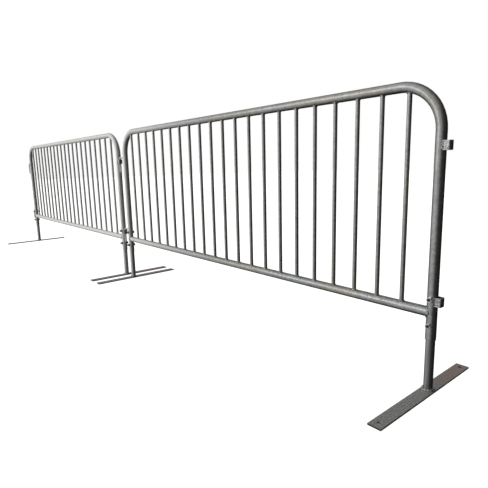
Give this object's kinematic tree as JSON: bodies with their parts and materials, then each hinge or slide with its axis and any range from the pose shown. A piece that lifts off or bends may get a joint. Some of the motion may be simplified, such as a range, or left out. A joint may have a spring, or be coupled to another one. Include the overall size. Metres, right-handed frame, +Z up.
{
  "type": "crowd control barrier",
  "caption": "Steel crowd control barrier: two picket panels with bent tube frames, hooked end to end, on flat bolted feet.",
  "frame": {"origin": "on the ground under the panels, at the middle of the box round the two linked sections", "axes": "+X along the barrier towards the near section, +Y towards the side of the bolt heads, away from the nuts, +Z up"},
  "size_m": [5.0614, 0.7, 1.1191],
  "materials": {
    "galvanised_tube": "dull galvanised steel, slightly mottled",
    "post_steel": "dull galvanised pipe, scuffed",
    "foot_steel": "galvanised flat bar, worn and rust-tinted at the ground",
    "weld_metal": "lumpy fillet weld under a bright zinc coat",
    "fastener_zinc": "zinc-plated fasteners, dulled outdoors"
  },
  "bodies": {
    "near_section": {"near_frame_tube": "galvanised_tube", "near_bottom_rail": "galvanised_tube", "near_upper_eye": "galvanised_tube", "near_lower_eye": "galvanised_tube", "near_upper_hook": "galvanised_tube", "near_lower_hook": "galvanised_tube", "near_left_foot_plate": "foot_steel", "near_left_post": "post_steel", "near_left_post_weld": "weld_metal", "near_right_foot_plate": "foot_steel", "near_right_post": "post_steel", "near_right_post_weld": "weld_metal", "near_bolts": "fastener_zinc", "near_nuts": "fastener_zinc", "near_washers": "fastener_zinc", "near_picket_01": "galvanised_tube", "near_picket_02": "galvanised_tube", "near_picket_03": "galvanised_tube", "near_picket_04": "galvanised_tube", "near_picket_05": "galvanised_tube", "near_picket_06": "galvanised_tube", "near_picket_07": "galvanised_tube", "near_picket_08": "galvanised_tube", "near_picket_09": "galvanised_tube", "near_picket_10": "galvanised_tube", "near_picket_11": "galvanised_tube", "near_picket_12": "galvanised_tube", "near_picket_13": "galvanised_tube", "near_picket_14": "galvanised_tube", "near_picket_15": "galvanised_tube", "near_picket_16": "galvanised_tube", "near_picket_17": "galvanised_tube", "near_picket_18": "galvanised_tube", "near_picket_19": "galvanised_tube", "near_picket_20": "galvanised_tube", "near_picket_21": "galvanised_tube"},
    "far_section": {"far_frame_tube": "galvanised_tube", "far_bottom_rail": "galvanised_tube", "far_upper_eye": "galvanised_tube", "far_lower_eye": "galvanised_tube", "far_upper_hook": "galvanised_tube", "far_lower_hook": "galvanised_tube", "far_left_foot_plate": "foot_steel", "far_left_post": "post_steel", "far_left_post_weld": "weld_metal", "far_right_foot_plate": "foot_steel", "far_right_post": "post_steel", "far_right_post_weld": "weld_metal", "far_bolts": "fastener_zinc", "far_nuts": "fastener_zinc", "far_washers": "fastener_zinc", "far_pickets": "galvanised_tube"}
  },
  "joints": [
    {"name": "section_link", "type": "hinge", "parent": "near_section", "child": "far_section", "pos_m": [-0.00255, 0, 0.61], "axis": [0, 0, 1], "range_deg": [-11, 13]}
  ]
}
